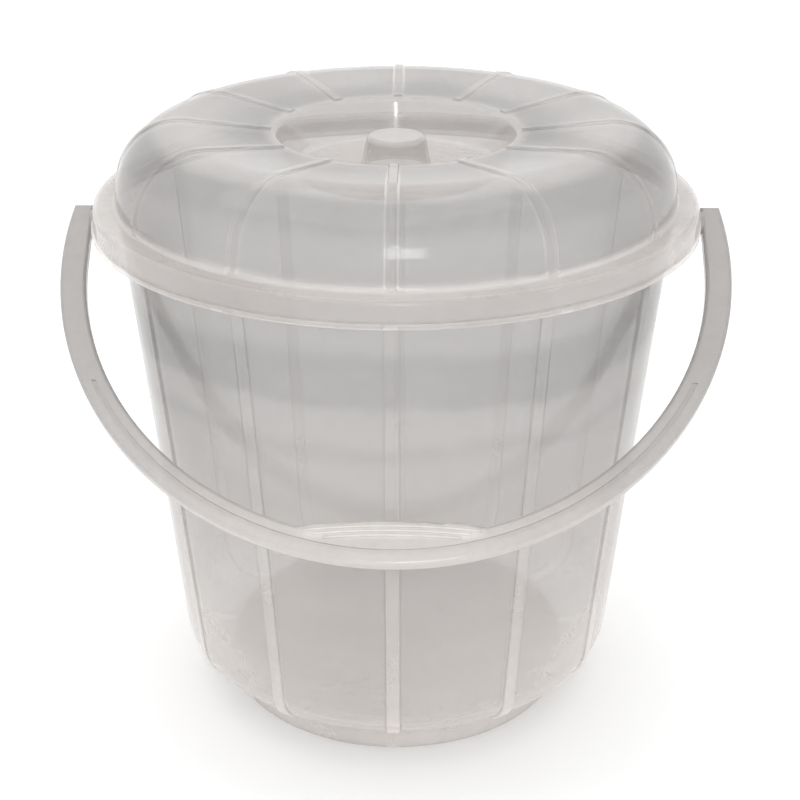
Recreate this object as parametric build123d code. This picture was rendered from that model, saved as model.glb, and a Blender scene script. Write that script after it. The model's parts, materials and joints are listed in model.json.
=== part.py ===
"""Lidded plastic bucket with a swinging bail handle, in millimetres.

The bucket stands on the plane z = 0 with its axis on +Z. The handle's pegs lie on a line
parallel to X, and the handle hangs at the front, on the -Y side, against the wall.
"""
from build123d import *
import math
import os

# ---------------------------------------------------------------- driving dimensions
RIB_COUNT = 12                # ribs on the pail and on the lid, one of them at the front
RIB_BEVEL = 0.5
OVERLAP = 0.9                 # how far a rib runs into the wall that carries it
EDGE_ROUND = 0.8              # roundings of the pail's open edges
CORNER_ROUND = 1.5

# pail
WALL = 1.9
FLOOR_Z = 19.0                # underside of the floor, above the foot ring's edge
FLOOR_TOP_Z = 21.2
FLOOR_CORNER = 24.0           # outer rounding between the floor and the wall
BASE_RADIUS = 120.4           # outer wall radius, run down to z = 0
TAPER = 0.0944                # growth of the wall's radius with height
FOOT_RADIUS = 98.0
FOOT_WALL = 2.2
RIM_TOP = 289.0
RIM_FLANGE = 2.0              # thickness of the rim's flat top
RIM_RADIUS = 157.6            # outer radius of the rim's turned-down wall
RIM_WALL = 1.8
LIP_RADIUS = 161.6            # lip under the lid's skirt
LIP_BOTTOM = 277.6
LIP_TOP = 280.4
PAIL_RIB_WIDTH = 7.0
PAIL_RIB_PROUD = 1.2

# ears under the rim and the pegs that turn in them
PIVOT_Z = 273.6
EAR_RADIUS = 10.0             # half an ear's width, and its reach below the pivot
EAR_TOP = 279.4               # inside the lip
EAR_ROUND = 9.0
EAR_THICKNESS = 6.0
EAR_WEB = 2.0                 # thickness of the two webs between an ear and the wall
EAR_WEB_BOTTOM = 268.0
EAR_WEB_OVERLAP = 0.5
BORE_RADIUS = 3.65
PEG_RADIUS = 3.6
PEG_HEAD_RADIUS = 4.8
PEG_TIP_RADIUS = 3.0
PEG_HEAD_LENGTH = 3.0
PEG_ROOT = 1.0                # how far a peg and its shoulder run into the handle
SHOULDER_RADIUS = 6.0         # round shoulder between an ear and the handle
SIDE_PLAY = 0.4               # gap on each side of an ear

# lid
LID_WALL = 1.6
LID_SKIRT_RADIUS = 160.0      # at the flange, half of the lid's width
LID_SKIRT_EDGE_RADIUS = 160.8 # at the skirt's lower edge
LID_SKIRT_BOTTOM = 280.8
LID_FLANGE_TOP = 291.2
LID_EDGE_ROUND = 3.0
DOME_RADIUS = 148.2           # where the dome stands on the flange
DOME_FOOT_ROUND = 2.0
DOME_CORNER_Z = 333.7         # where the dome's side and top would meet unrounded
DOME_ROUND = 35.0
WELL_RADIUS = 63.2            # rim of the well around the knob
WELL_RIM_Z = 324.8
WELL_RIM_ROUND = 4.0
WELL_FLOOR_RADIUS = 54.4
WELL_FLOOR_Z = 304.0
WELL_FLOOR_ROUND = 5.0
KNOB_BASE_RADIUS = 18.7
KNOB_BASE_ROUND = 3.0
KNOB_TOP_RADIUS = 15.4
KNOB_TOP_Z = 321.6
KNOB_ROUND = 3.0
LID_RIB_WIDTH = 5.0
LID_RIB_PROUD = 0.9
LID_RIB_END_RADIUS = 66.0     # the lid's ribs stop at the well's rounded rim

# bail handle in its own plane: half-widths along X, depths away from the pivot line
HANG_ANGLE = 37.0             # the handle hangs this far below the horizontal
BAND_CENTRE = 26.6            # centre of the two ellipses of the band
BAND_OUTER_HALF_WIDTH = 177.2
BAND_OUTER_DEPTH = 173.4
BAND_INNER_HALF_WIDTH = 163.6
BAND_INNER_DEPTH = 159.6
BAND_THICKNESS = 8.0
BAND_ROUND = 1.8
GROOVE_WIDTH = 2.2
GROOVE_DEPTH = 0.8
GROOVE_START = 100.0          # depth at which the groove begins on each leg
TAB_REACH = 8.0               # length of the handle's ends above the pivot line
GRIP_HALF_LENGTH = 46.4
GRIP_END_DEPTH = 179.6        # inner edge of the grip at its ends
GRIP_MIDDLE_DEPTH = 176.7     # inner edge of the grip at its middle
RIDGE_COUNT = 3
RIDGE_PITCH = 2.4
RIDGE_RADIUS = 0.8
RIDGE_HALF_LENGTH = 43.0      # of the ridge nearest the grip's edge
RIDGE_STEP = 5.0              # by which each further ridge is shorter at both ends


def wall_radius(z):
    """Outer radius of the pail's wall at height z."""
    return BASE_RADIUS + TAPER * z


def closed_face(corners):
    """Face inside a closed outline of (x, y, rounding) corners."""
    points = [(x, y) for x, y, rounding in corners]
    roundings = [rounding for x, y, rounding in corners]
    return make_face(FilletPolyline(*points, radius=roundings, close=True))


def turned(section):
    """Solid of revolution about Z of a section drawn in radius and height."""
    return revolve(Plane.XZ * section, Axis.Z)


def rib_section(width, proud):
    """Section across a rib, with bevelled outer edges and the wall's surface at y = 0."""
    side = width / 2
    top = side - RIB_BEVEL
    shoulder = RIB_BEVEL - proud
    half = [(side, OVERLAP), (side, shoulder), (top, -proud)]
    other_half = [(-x, y) for x, y in reversed(half)]
    return make_face(Polyline(*half, *other_half, close=True))


def ribs(path, width, proud):
    """Radial ribs along an outline drawn in radius and height.

    The outline runs with the outside of the wall on its right.
    """
    spine = Plane.XZ * path
    start = Plane(origin=spine @ 0, x_dir=(0, 1, 0), z_dir=spine % 0)
    rib = sweep(start * rib_section(width, proud), path=spine)
    return [Rot(0, 0, 360 / RIB_COUNT * i) * rib for i in range(RIB_COUNT)]


def on_pivot(x, shape):
    """A round shape turned onto the pivot line, centred at x."""
    return Pos(x, 0, PIVOT_Z) * Rot(0, 90, 0) * shape


# ---------------------------------------------------------------- pail
def pail_section():
    """Foot ring, floor, tapered wall, rim and lip in one outline."""
    inner_corner = FLOOR_CORNER - WALL
    rim_underside = RIM_TOP - RIM_FLANGE
    return closed_face([
        (0, FLOOR_Z, 0),
        (FOOT_RADIUS - FOOT_WALL, FLOOR_Z, 0),
        (FOOT_RADIUS - FOOT_WALL, 0, 0),
        (FOOT_RADIUS, 0, EDGE_ROUND),
        (FOOT_RADIUS, FLOOR_Z, CORNER_ROUND),
        (wall_radius(FLOOR_Z), FLOOR_Z, FLOOR_CORNER),
        (wall_radius(rim_underside), rim_underside, 0),
        (RIM_RADIUS - RIM_WALL, rim_underside, 0),
        (RIM_RADIUS - RIM_WALL, LIP_BOTTOM, 0),
        (LIP_RADIUS, LIP_BOTTOM, EDGE_ROUND),
        (LIP_RADIUS, LIP_TOP, EDGE_ROUND),
        (RIM_RADIUS, LIP_TOP, 0),
        (RIM_RADIUS, RIM_TOP, CORNER_ROUND),
        (wall_radius(RIM_TOP) - WALL, RIM_TOP, EDGE_ROUND),
        (wall_radius(FLOOR_TOP_Z) - WALL, FLOOR_TOP_Z, inner_corner),
        (0, FLOOR_TOP_Z, 0),
    ])


def pail_rib_path():
    """From the foot ring outwards under the floor and up the wall into the rim's lip."""
    return FilletPolyline(
        (FOOT_RADIUS - FOOT_WALL / 2, FLOOR_Z),
        (wall_radius(FLOOR_Z), FLOOR_Z),
        (wall_radius(LIP_TOP), LIP_TOP),
        radius=FLOOR_CORNER,
    )


def ear():
    """Lug under the rim at +X, tied to the wall by two webs, still without its bore."""
    bottom = PIVOT_Z - EAR_RADIUS
    lug_face = closed_face([
        (-EAR_RADIUS, EAR_TOP, 0),
        (-EAR_RADIUS, bottom, EAR_ROUND),
        (EAR_RADIUS, bottom, EAR_ROUND),
        (EAR_RADIUS, EAR_TOP, 0),
    ])
    inside = LIP_RADIUS - EAR_THICKNESS
    lug = extrude(Plane.YZ.offset(inside) * lug_face, EAR_THICKNESS)
    web_top = RIM_TOP - RIM_FLANGE / 2
    web_face = closed_face([
        (wall_radius(EAR_WEB_BOTTOM) - WALL / 2, EAR_WEB_BOTTOM, 0),
        (inside + EAR_WEB_OVERLAP, EAR_WEB_BOTTOM, 0),
        (inside + EAR_WEB_OVERLAP, web_top, 0),
        (wall_radius(web_top) - WALL / 2, web_top, 0),
    ])
    web = extrude(Plane.XZ * web_face, EAR_WEB / 2, both=True)
    shift = EAR_RADIUS - EAR_WEB / 2
    return lug + [Pos(0, side * shift, 0) * web for side in (-1, 1)]


def make_pail():
    """Pail with its ribs and its two bored ears."""
    pail = turned(pail_section()) + ribs(pail_rib_path(), PAIL_RIB_WIDTH, PAIL_RIB_PROUD)
    lug = ear()
    pail += [lug, mirror(lug, about=Plane.YZ)]
    bore = on_pivot(LIP_RADIUS - EAR_THICKNESS / 2, Cylinder(BORE_RADIUS, 2 * EAR_THICKNESS))
    return pail - [bore, mirror(bore, about=Plane.YZ)]


# ---------------------------------------------------------------- lid
def lid_section():
    """Wall of even thickness: skirt, flange, dome, well and hollow knob."""
    below = 10.0
    flare = (LID_SKIRT_EDGE_RADIUS - LID_SKIRT_RADIUS) / (LID_FLANGE_TOP - LID_SKIRT_BOTTOM)
    half = [
        (LID_SKIRT_EDGE_RADIUS + flare * below, LID_SKIRT_BOTTOM - below, 0),
        (LID_SKIRT_RADIUS, LID_FLANGE_TOP, LID_EDGE_ROUND),
        (DOME_RADIUS, LID_FLANGE_TOP, DOME_FOOT_ROUND),
        (DOME_RADIUS, DOME_CORNER_Z, DOME_ROUND),
        (WELL_RADIUS, WELL_RIM_Z, WELL_RIM_ROUND),
        (WELL_FLOOR_RADIUS, WELL_FLOOR_Z, WELL_FLOOR_ROUND),
        (KNOB_BASE_RADIUS, WELL_FLOOR_Z, KNOB_BASE_ROUND),
        (KNOB_TOP_RADIUS, KNOB_TOP_Z, KNOB_ROUND),
    ]
    other_half = [(-x, y, rounding) for x, y, rounding in reversed(half)]
    outside = closed_face(half + other_half)
    wall = outside - offset(outside, amount=-LID_WALL)
    reach = 2 * LID_SKIRT_RADIUS
    kept = Pos(0, LID_SKIRT_BOTTOM) * Rectangle(reach, reach, align=Align.MIN)
    return wall & kept


def lid_rib_path():
    """From the flange up the dome's side and inwards over its top to the well."""
    slope = (DOME_CORNER_Z - WELL_RIM_Z) / (DOME_RADIUS - WELL_RADIUS)
    end_z = WELL_RIM_Z + slope * (LID_RIB_END_RADIUS - WELL_RADIUS)
    return FilletPolyline(
        (DOME_RADIUS, LID_FLANGE_TOP - LID_WALL / 2),
        (DOME_RADIUS, DOME_CORNER_Z),
        (LID_RIB_END_RADIUS, end_z),
        radius=DOME_ROUND,
    )


def make_lid():
    """Lid with its radial ribs."""
    return turned(lid_section()) + ribs(lid_rib_path(), LID_RIB_WIDTH, LID_RIB_PROUD)


# ---------------------------------------------------------------- bail handle
def band_ellipse(half_width, depth):
    """Ellipse of the band in the handle's plane."""
    return Pos(0, BAND_CENTRE) * Ellipse(half_width, depth)


def beyond(depth):
    """Everything in the handle's plane that lies deeper than depth."""
    reach = 2 * BAND_OUTER_HALF_WIDTH
    return Pos(0, depth) * Rectangle(2 * reach, reach, align=(Align.CENTER, Align.MIN))


def slab(face, thickness):
    """Face thickened evenly to both sides of the handle's plane."""
    return extrude(face, thickness / 2, both=True)


def rounded_slab(face, thickness, rounding):
    """Slab whose edges around both flat faces are rounded."""
    body = slab(face, thickness)
    faces = body.faces().sort_by(Axis.Z)
    return fillet(faces[0].edges() + faces[-1].edges(), rounding)


def grip_arc(half_length, drop):
    """Arc parallel to the grip's inner edge, drop further from the pivot line."""
    rise = (GRIP_END_DEPTH - GRIP_MIDDLE_DEPTH) * (half_length / GRIP_HALF_LENGTH) ** 2
    end = GRIP_MIDDLE_DEPTH + rise + drop
    return ThreePointArc((-half_length, end), (0, GRIP_MIDDLE_DEPTH + drop), (half_length, end))


def band_outline():
    """Band between two ellipses, with the grip's flatter inner edge in the middle."""
    whole = band_ellipse(BAND_OUTER_HALF_WIDTH, BAND_OUTER_DEPTH)
    inside = band_ellipse(BAND_INNER_HALF_WIDTH, BAND_INNER_DEPTH)
    inside += Rectangle(2 * BAND_INNER_HALF_WIDTH, 2 * BAND_CENTRE)
    arc = grip_arc(GRIP_HALF_LENGTH, 0)
    deep = BAND_CENTRE + BAND_OUTER_DEPTH
    sides = Polyline(arc @ 1, (GRIP_HALF_LENGTH, deep), (-GRIP_HALF_LENGTH, deep), arc @ 0)
    return (whole & beyond(-TAB_REACH)) - (inside - make_face(arc.edges() + sides.edges()))


def band():
    """Flat handle with a groove along both faces and finger ridges beside the grip's edge."""
    body = rounded_slab(band_outline(), BAND_THICKNESS, BAND_ROUND)

    middle_half_width = (BAND_OUTER_HALF_WIDTH + BAND_INNER_HALF_WIDTH) / 2
    middle_depth = (BAND_OUTER_DEPTH + BAND_INNER_DEPTH) / 2
    half = GROOVE_WIDTH / 2
    groove = band_ellipse(middle_half_width + half, middle_depth + half)
    groove -= band_ellipse(middle_half_width - half, middle_depth - half)
    cutter = slab(groove & beyond(GROOVE_START), 2 * GROOVE_DEPTH)
    body -= [Pos(0, 0, side * BAND_THICKNESS / 2) * cutter for side in (-1, 1)]

    for number in range(RIDGE_COUNT):
        half_length = RIDGE_HALF_LENGTH - RIDGE_STEP * number
        spine = grip_arc(half_length, BAND_ROUND + RIDGE_PITCH * (number + 0.5))
        start = Plane(origin=spine @ 0, z_dir=spine % 0)
        ridge = sweep(start * Circle(RIDGE_RADIUS), path=spine)
        ridge += [Pos(spine @ end) * Sphere(RIDGE_RADIUS) for end in (0, 1)]
        body += [Pos(0, 0, side * BAND_THICKNESS / 2) * ridge for side in (-1, 1)]
    return body


def peg():
    """Headed peg at +X with its shoulder, which turns in the ear."""
    shoulder_face = LIP_RADIUS + SIDE_PLAY
    head_face = LIP_RADIUS - EAR_THICKNESS - SIDE_PLAY
    root = BAND_INNER_HALF_WIDTH + PEG_ROOT
    shoulder = Cylinder(SHOULDER_RADIUS, root - shoulder_face)
    shaft = Cylinder(PEG_RADIUS, root - head_face)
    head = Cone(PEG_TIP_RADIUS, PEG_HEAD_RADIUS, PEG_HEAD_LENGTH)
    return on_pivot((root + shoulder_face) / 2, shoulder) + [
        on_pivot((root + head_face) / 2, shaft),
        on_pivot(head_face - PEG_HEAD_LENGTH / 2, head),
    ]


def make_handle():
    """Handle hanging at the front of the pail."""
    angle = math.radians(HANG_ANGLE)
    hanging = Plane(
        origin=(0, 0, PIVOT_Z),
        x_dir=(1, 0, 0),
        z_dir=(0, math.sin(angle), -math.cos(angle)),
    )
    right_peg = peg()
    return hanging * band() + [right_peg, mirror(right_peg, about=Plane.YZ)]


# ---------------------------------------------------------------- parts
NODES = {
    "pail": make_pail,
    "lid": make_lid,
    "bail_handle": make_handle,
}

os.makedirs("parts", exist_ok=True)
for name, make in NODES.items():
    export_step(make(), f"parts/{name}.step")
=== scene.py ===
"""Looks of a translucent lidded bucket with a bail handle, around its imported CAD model, in metres."""
import json
import math
from typing import NamedTuple

import bpy
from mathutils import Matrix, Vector


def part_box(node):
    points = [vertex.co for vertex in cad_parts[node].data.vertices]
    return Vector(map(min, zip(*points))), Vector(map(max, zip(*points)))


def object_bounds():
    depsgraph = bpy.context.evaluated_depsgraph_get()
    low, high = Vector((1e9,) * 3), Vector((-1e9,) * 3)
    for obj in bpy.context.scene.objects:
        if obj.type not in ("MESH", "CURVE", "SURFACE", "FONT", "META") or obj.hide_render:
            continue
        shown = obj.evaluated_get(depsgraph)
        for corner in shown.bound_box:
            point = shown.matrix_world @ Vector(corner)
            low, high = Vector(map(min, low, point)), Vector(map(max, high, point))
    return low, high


# ---------------------------------------------------------------- frame
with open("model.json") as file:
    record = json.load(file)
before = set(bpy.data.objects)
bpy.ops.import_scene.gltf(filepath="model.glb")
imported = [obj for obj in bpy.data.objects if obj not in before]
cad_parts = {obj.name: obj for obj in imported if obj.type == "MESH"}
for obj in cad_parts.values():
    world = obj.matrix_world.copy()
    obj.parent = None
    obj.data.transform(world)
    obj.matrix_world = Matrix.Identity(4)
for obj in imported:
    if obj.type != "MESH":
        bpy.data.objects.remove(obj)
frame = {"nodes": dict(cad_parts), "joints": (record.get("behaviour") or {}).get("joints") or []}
cad_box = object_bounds()
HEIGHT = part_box("lid")[1].z
PIVOT_Z = next(joint for joint in frame["joints"] if joint["name"] == "handle_swing")["pos_m"][2]
HANG_ANGLE = math.radians(37.0)
RIB_COUNT = 12
RIB_PITCH = 2 * math.pi / RIB_COUNT

# ---------------------------------------------------------------- view, floor and light
CAMERA_PLACE = (0.01328, -0.83685, 0.56128)
CAMERA_TILT = math.radians(64.8)
CAMERA_TURN = math.radians(0.77)
CAMERA_LENS = 73.5
CAMERA_SENSOR = 36.0
FLOOR_SIZE = 14.0
FLOOR_COLOUR = (0.93, 0.93, 0.93, 1.0)
FLOOR_ROUGHNESS = 0.7
FLOOR_SPECULAR = 0.2
WORLD_COLOUR = (1.0, 1.0, 1.0, 1.0)
WORLD_STRENGTH = 1.15
# Name, place, side length, power and colour of each area light.
LIGHTS = (
    ("overhead", (-0.3, 0.3, 2.4), 2.4, 12.0, (1.0, 0.99, 0.97)),
    ("front", (0.03, -1.3, 1.15), 0.03, 0.35, (1.0, 1.0, 1.0)),
    ("glow", (0.10, -1.5, 0.95), 0.40, 3.0, (0.95, 0.98, 1.0)),
)


class Ribs(NamedTuple):
    """Where a piece's radial ribs are, and how much painted light goes on their faces and painted light or
    shade on their edge lines.
    """

    width: float
    inner_radius: float
    low: float
    high: float
    face_painted_light: float
    line_painted_shading: float


# ---------------------------------------------------------------- plastic
PALE = (0.50, 0.474, 0.456, 1.0)
DEEP = (0.44, 0.411, 0.393, 1.0)
SCUFF_COLOUR = (0.85, 0.85, 0.84, 1.0)
# Scale, detail and roughness of each noise. The rings and the scuffs share the last one.
CLOUD = (11.0, 3.0, 0.55)
GRAIN = (160.0, 4.0, 0.6)
SWELL = (22.0, 1.0, 0.4)
PEEL = (450.0, 1.0, 0.5)
STRETCHED = (1.0, 2.0, 0.5)
RING_SQUEEZE = (5.0, 5.0, 42.0)
SCUFF_SQUEEZE = (520.0, 520.0, 30.0)
# How much of the plastic's unevenness is cloud, grain and rings.
CLOUD_WEIGHT, GRAIN_WEIGHT, RING_WEIGHT = 0.45, 0.2, 0.35
# Noise values between which colour, solidity, roughness and scuffs go from least to most.
COLOUR_SPAN = (0.36, 0.64)
WIDE_SPAN = (0.3, 0.7)
SCUFF_SPAN = (0.70, 0.80)
SCUFFED_PLACES = (0.45, 0.65)
BODY_SPREAD = 0.03
ROUGH_SPREAD = 0.07
SCUFF_SHARE = 0.06
SCUFF_ROUGHNESS = 0.08
SWELL_HEIGHT = 0.0006
PEEL_HEIGHT = 0.0000015
EDGE_POWER = 2.5
SPECULAR_LEVEL = 0.5
COAT_ROUGHNESS = 0.10

# How much more solid a rib is, how softly its sides, ends and inner end fade, and the offset and
# half width of the fine painted highlight or painted shade line beside it.
RIB_BODY = 0.05
RIB_SOFT = 0.0002
RIB_END_FADE = 0.001
RIB_INNER_FADE = 0.002
LINE_OFFSET = 0.0004
LINE_REACH = 0.0009
# On the pail the fine lines beside the ribs are painted shade, and on the lid painted highlights. Both
# pieces get painted light on their rib faces.
PAIL_RIBS = Ribs(width=0.0070, inner_radius=0.096, low=0.019, high=0.280, face_painted_light=0.20, line_painted_shading=-0.14)
LID_RIBS = Ribs(width=0.0050, inner_radius=0.066, low=0.292, high=0.340, face_painted_light=0.06, line_painted_shading=0.70)

# Painted light and shade by height: the colour is made lighter or darker in bands, such as the pail's
# lighter low wall, where light pools, and a painted shadow band high on its wall. It reaches the shader
# as a ramp of greys, as a share of MOST_TONE.
MOST_TONE = 2.0
PAIL_PAINTED_SHADING = (
    (0.000, 1.72), (0.020, 1.68), (0.045, 1.35), (0.100, 1.10), (0.130, 0.96), (0.150, 0.86),
    (0.180, 0.80), (0.195, 0.76), (0.203, 0.60), (0.211, 0.74), (0.222, 0.68), (0.230, 0.38),
    (0.248, 0.38), (0.262, 0.68), (0.290, 1.00),
)
LID_PAINTED_SHADING = (
    (0.2805, 1.30), (0.2895, 1.30), (0.2915, 1.46), (0.296, 0.66), (0.310, 0.64), (0.319, 0.46),
    (0.3255, 0.44), (0.3290, 0.86), (0.332, 0.90),
)
HANDLE_PAINTED_SHADING = ((0.145, 1.32), (0.168, 1.20), (0.190, 0.91), (0.230, 0.72), (0.285, 0.70))

# Painted highlight on the grip, a lighter strip where light glints on its finger ridges: half length
# where it is full and where it ends, distance from the pivot where it starts and where it is full, and
# how much lighter it is.
STRIP_FULL, STRIP_END = 0.036, 0.050
STRIP_START_DEPTH, STRIP_FULL_DEPTH = 0.1875, 0.1845
STRIP_HIGHLIGHT = 0.35


class Nodes:
    """Short forms for building one material's node tree."""

    def __init__(self, material):
        self.tree = material.node_tree
        self.tree.nodes.clear()

    def add(self, kind, inputs=None, **settings):
        """Adds a node, sets its properties, and feeds its inputs by name or number."""
        node = self.tree.nodes.new(kind)
        for key, value in settings.items():
            setattr(node, key, value)
        for key, value in (inputs or {}).items():
            self.feed(node, key, value)
        return node

    def feed(self, node, key, value):
        """Links a socket to an input, or sets the input's own value."""
        if isinstance(value, bpy.types.NodeSocket):
            self.tree.links.new(value, node.inputs[key])
        else:
            node.inputs[key].default_value = value

    def math(self, operation, first, second=0.0, third=0.0, clamp=False):
        inputs = {0: first, 1: second, 2: third}
        return self.add("ShaderNodeMath", inputs, operation=operation, use_clamp=clamp).outputs[0]

    def total(self, *terms):
        """Sum of (value, weight) terms."""
        result = 0.0
        for value, weight in terms:
            result = self.math("MULTIPLY_ADD", value, weight, result)
        return result

    def lighten(self, tone, mask, share):
        """Tone made lighter by a share of itself where the mask is."""
        return self.math("MULTIPLY", tone, self.math("MULTIPLY_ADD", mask, share, 1.0))

    def radius(self, x, y):
        """Distance from the upright axis."""
        return self.math("SQRT", self.total((x, x), (y, y)))

    def ramp(self, value, low, high, to_low=0.0, to_high=1.0, smooth=True):
        """Value mapped from low..high to to_low..to_high, clamped."""
        inputs = dict(enumerate((value, low, high, to_low, to_high)))
        kind = "SMOOTHSTEP" if smooth else "LINEAR"
        return self.add("ShaderNodeMapRange", inputs, interpolation_type=kind).outputs[0]

    def scaled(self, vector, scale):
        return self.add("ShaderNodeVectorMath", {0: vector, 1: scale}, operation="MULTIPLY").outputs[0]

    def noise(self, vector, scale, detail, roughness):
        inputs = {"Vector": vector, "Scale": scale, "Detail": detail, "Roughness": roughness}
        return self.add("ShaderNodeTexNoise", inputs).outputs[0]

    def mix_colour(self, share, first, second):
        """Colour mix. On this node the share is input 0, and the colours are inputs 6 and 7."""
        return self.add("ShaderNodeMix", {0: share, 6: first, 7: second}, data_type="RGBA").outputs[2]


def by_height(n, z, stops):
    """Value that follows (height, value) stops from the lowest to the highest."""
    low, high = stops[0][0], stops[-1][0]
    node = n.add("ShaderNodeValToRGB", {"Fac": n.ramp(z, low, high, smooth=False)})
    ramp = node.color_ramp
    ramp.interpolation = "EASE"
    while len(ramp.elements) < len(stops):
        ramp.elements.new(0.5)
    for element, (height, value) in zip(ramp.elements, stops):
        grey = value / MOST_TONE
        element.position = (height - low) / (high - low)
        element.color = (grey, grey, grey, 1.0)
    return n.math("MULTIPLY", node.outputs[0], MOST_TONE)


def rib_marks(n, x, y, z, ribs):
    """Where the radial ribs are, and the fine lines along their edges, as two masks for painted light and
    shade.
    """
    radius = n.radius(x, y)
    sector = n.math("DIVIDE", n.math("ARCTAN2", y, x), RIB_PITCH)
    turn = n.math("ABSOLUTE", n.math("SUBTRACT", sector, n.math("ROUND", sector)))
    aside = n.math("MULTIPLY", turn, n.math("MULTIPLY", radius, RIB_PITCH))
    above = n.ramp(z, ribs.low, ribs.low + RIB_END_FADE)
    below = n.ramp(z, ribs.high, ribs.high - RIB_END_FADE)
    outside = n.ramp(radius, ribs.inner_radius, ribs.inner_radius + RIB_INNER_FADE)
    here = n.math("MULTIPLY", n.math("MULTIPLY", above, below), outside)
    half = ribs.width / 2
    inside = n.math("MULTIPLY", here, n.ramp(aside, half + RIB_SOFT, half - RIB_SOFT))
    off_line = n.math("ABSOLUTE", n.math("SUBTRACT", aside, half + LINE_OFFSET))
    line = n.math("MULTIPLY", here, n.ramp(off_line, LINE_REACH, RIB_SOFT))
    return inside, line


def plastic(name, painted_shading, sway, body, edge_body, shine, painted_light, ribs=None):
    """Natural polypropylene: milky, glossy, and clearer the squarer to the eye it is.

    tones gives the painted light and shade by height, which wanders up and down by sway, and lift adds
    one patch of painted light. body and edge_body say how solid it is square on and at a glancing angle,
    and shine is its least roughness.
    """
    material = bpy.data.materials.new(name)
    material.use_nodes = True
    n = Nodes(material)
    place = n.add("ShaderNodeTexCoord").outputs["Object"]
    axes = n.add("ShaderNodeSeparateXYZ", {"Vector": place}).outputs
    cloud = n.noise(place, *CLOUD)
    grain = n.noise(place, *GRAIN)
    rings = n.noise(n.scaled(place, RING_SQUEEZE), *STRETCHED)
    drag = n.noise(n.scaled(place, SCUFF_SQUEEZE), *STRETCHED)
    scuff = n.math("MULTIPLY", n.ramp(drag, *SCUFF_SPAN), n.ramp(cloud, *SCUFFED_PLACES))

    mix = n.total((cloud, CLOUD_WEIGHT), (grain, GRAIN_WEIGHT), (rings, RING_WEIGHT))
    colour = n.mix_colour(n.ramp(mix, *COLOUR_SPAN), DEEP, PALE)
    wander = n.math("MULTIPLY", n.math("SUBTRACT", cloud, 0.5), sway)
    # The tone starts as painted light and shade by height.
    tone = by_height(n, n.math("ADD", axes[2], wander), painted_shading)
    body_share = n.ramp(mix, *WIDE_SPAN, body - BODY_SPREAD, body + BODY_SPREAD)
    if ribs:
        inside, line = rib_marks(n, *axes, ribs)
        # Painted light on the rib faces, and a painted highlight or painted shade on the lines beside them.
        tone = n.lighten(tone, inside, ribs.face_painted_light)
        tone = n.lighten(tone, line, ribs.line_painted_shading)
        body_share = n.math("MULTIPLY_ADD", inside, RIB_BODY, body_share)
    # One patch of painted light: a highlight on the pail's lip, light in the lid's well, a highlight on the
    # grip.
    tone = n.math("ADD", tone, painted_light(n, *axes))
    colour = n.scaled(colour, tone)
    colour = n.mix_colour(n.math("MULTIPLY", scuff, SCUFF_SHARE), colour, SCUFF_COLOUR)

    # Layer Weight sets how clear and how glossy the plastic is, and doesn't reach its colour.
    facing = n.add("ShaderNodeLayerWeight", {"Blend": 0.5}).outputs["Facing"]
    edge = n.math("POWER", facing, EDGE_POWER)
    rough = n.ramp(grain, *WIDE_SPAN, shine, shine + ROUGH_SPREAD)
    bump = n.add("ShaderNodeBump", {
        "Strength": 1.0,
        "Distance": 1.0,
        "Height": n.total((n.noise(place, *SWELL), SWELL_HEIGHT), (n.noise(place, *PEEL), PEEL_HEIGHT)),
    })
    shader = n.add("ShaderNodeBsdfPrincipled", {
        "Base Color": colour,
        "Roughness": n.math("MULTIPLY_ADD", scuff, SCUFF_ROUGHNESS, rough),
        "Normal": bump.outputs[0],
        "Alpha": n.math("MULTIPLY_ADD", edge, edge_body - body, body_share, clamp=True),
        "Specular IOR Level": SPECULAR_LEVEL,
        "Coat Weight": n.math("SUBTRACT", 1.0, edge),
        "Coat Roughness": COAT_ROUGHNESS,
    })
    n.add("ShaderNodeOutputMaterial", {"Surface": shader.outputs[0]})
    return material


def grip_painted_highlight(n, x, y, z):
    """Painted highlight: a lighter strip along the inner edge of the handle's grip, where light glints on
    its finger ridges.
    """
    drop = n.math("MULTIPLY", n.math("SUBTRACT", PIVOT_Z, z), math.sin(HANG_ANGLE))
    depth = n.math("SUBTRACT", drop, n.math("MULTIPLY", y, math.cos(HANG_ANGLE)))
    near = n.ramp(n.math("ABSOLUTE", x), STRIP_END, STRIP_FULL)
    return n.math("MULTIPLY", near, n.ramp(depth, STRIP_START_DEPTH, STRIP_FULL_DEPTH, 0.0, STRIP_HIGHLIGHT))


def by_radius(near, far, near_light, far_light):
    """Makes a ring of painted light that goes all round the axis."""
    def light(n, x, y, z):
        return n.ramp(n.radius(x, y), near, far, near_light, far_light)

    return light


def dress(node, material):
    """Gives a CAD node this material alone."""
    materials = frame["nodes"][node].data.materials
    materials.clear()
    materials.append(material)


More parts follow.
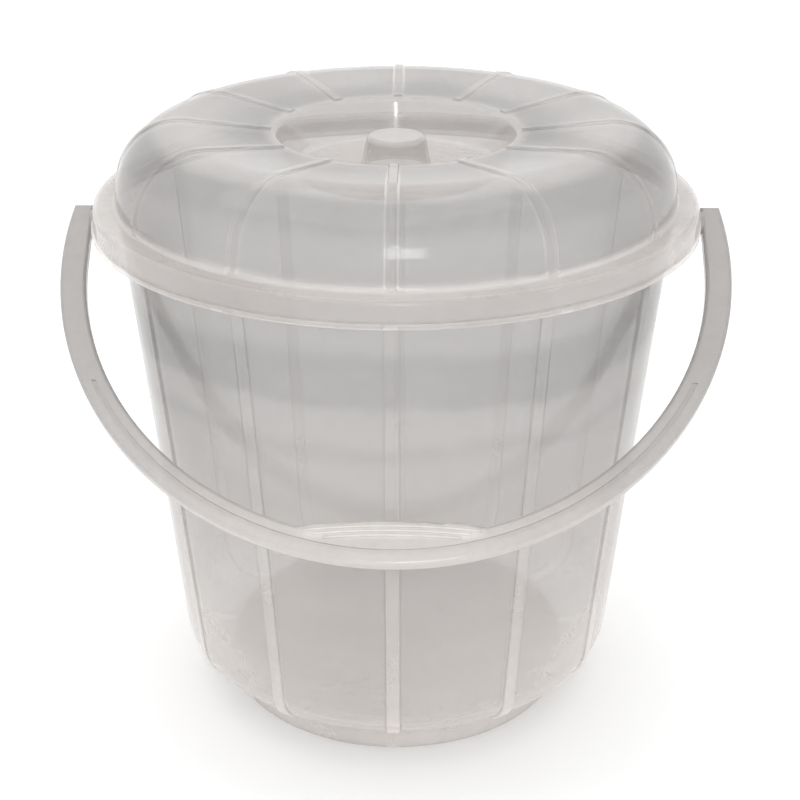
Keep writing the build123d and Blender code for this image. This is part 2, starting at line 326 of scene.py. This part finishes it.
def dress_all():
    """Dresses the three mouldings, with a painted highlight on the pail's lip and painted light in the
    lid's well.
    """
    # A painted highlight along the pail's lip, and painted light that lifts the shade in the lid's well.
    lip_painted_highlight = by_radius(0.1585, 0.1600, 0.0, 0.85)
    well_painted_light = by_radius(0.063, 0.072, 0.58, 0.0)
    dress("pail", plastic(
        "pail_polypropylene", PAIL_PAINTED_SHADING, sway=0.03, body=0.31, edge_body=0.85, shine=0.13,
        painted_light=lip_painted_highlight, ribs=PAIL_RIBS,
    ))
    dress("lid", plastic(
        "lid_polypropylene", LID_PAINTED_SHADING, sway=0.005, body=0.31, edge_body=0.85, shine=0.10,
        painted_light=well_painted_light, ribs=LID_RIBS,
    ))
    dress("bail_handle", plastic(
        "handle_polypropylene", HANDLE_PAINTED_SHADING, sway=0.02, body=0.72, edge_body=0.95, shine=0.16,
        painted_light=grip_painted_highlight,
    ))


def make_camera():
    data = bpy.data.cameras.new("camera")
    data.lens = CAMERA_LENS
    data.sensor_width = CAMERA_SENSOR
    camera = bpy.data.objects.new("camera", data)
    bpy.context.scene.collection.objects.link(camera)
    camera.location = CAMERA_PLACE
    camera.rotation_euler = (CAMERA_TILT, 0.0, CAMERA_TURN)
    bpy.context.scene.camera = camera


def make_world():
    world = bpy.data.worlds.new("studio")
    world.use_nodes = True
    background = world.node_tree.nodes["Background"]
    background.inputs["Color"].default_value = WORLD_COLOUR
    background.inputs["Strength"].default_value = WORLD_STRENGTH
    bpy.context.scene.world = world


def make_floor():
    bpy.ops.mesh.primitive_plane_add(size=FLOOR_SIZE, location=(0.0, 0.0, cad_box[0].z))
    floor = bpy.context.object
    floor.name = "floor"
    material = bpy.data.materials.new("floor_paper")
    material.use_nodes = True
    shader = material.node_tree.nodes["Principled BSDF"]
    shader.inputs["Base Color"].default_value = FLOOR_COLOUR
    shader.inputs["Roughness"].default_value = FLOOR_ROUGHNESS
    shader.inputs["Specular IOR Level"].default_value = FLOOR_SPECULAR
    floor.data.materials.append(material)


def area_light(name, place, size, power, colour):
    """Square soft light at place, turned towards the middle of the object."""
    light = bpy.data.lights.new(name, "AREA")
    light.shape = "SQUARE"
    light.size = size
    light.energy = power
    light.color = colour
    lamp = bpy.data.objects.new(name, light)
    bpy.context.scene.collection.objects.link(lamp)
    lamp.location = place
    middle = Vector((0.0, 0.0, HEIGHT / 2))
    lamp.rotation_euler = (middle - Vector(place)).to_track_quat("-Z", "Y").to_euler()


dress_all()
make_camera()
make_world()
make_floor()
for light_values in LIGHTS:
    area_light(*light_values)
bpy.context.scene.view_settings.view_transform = "Standard"
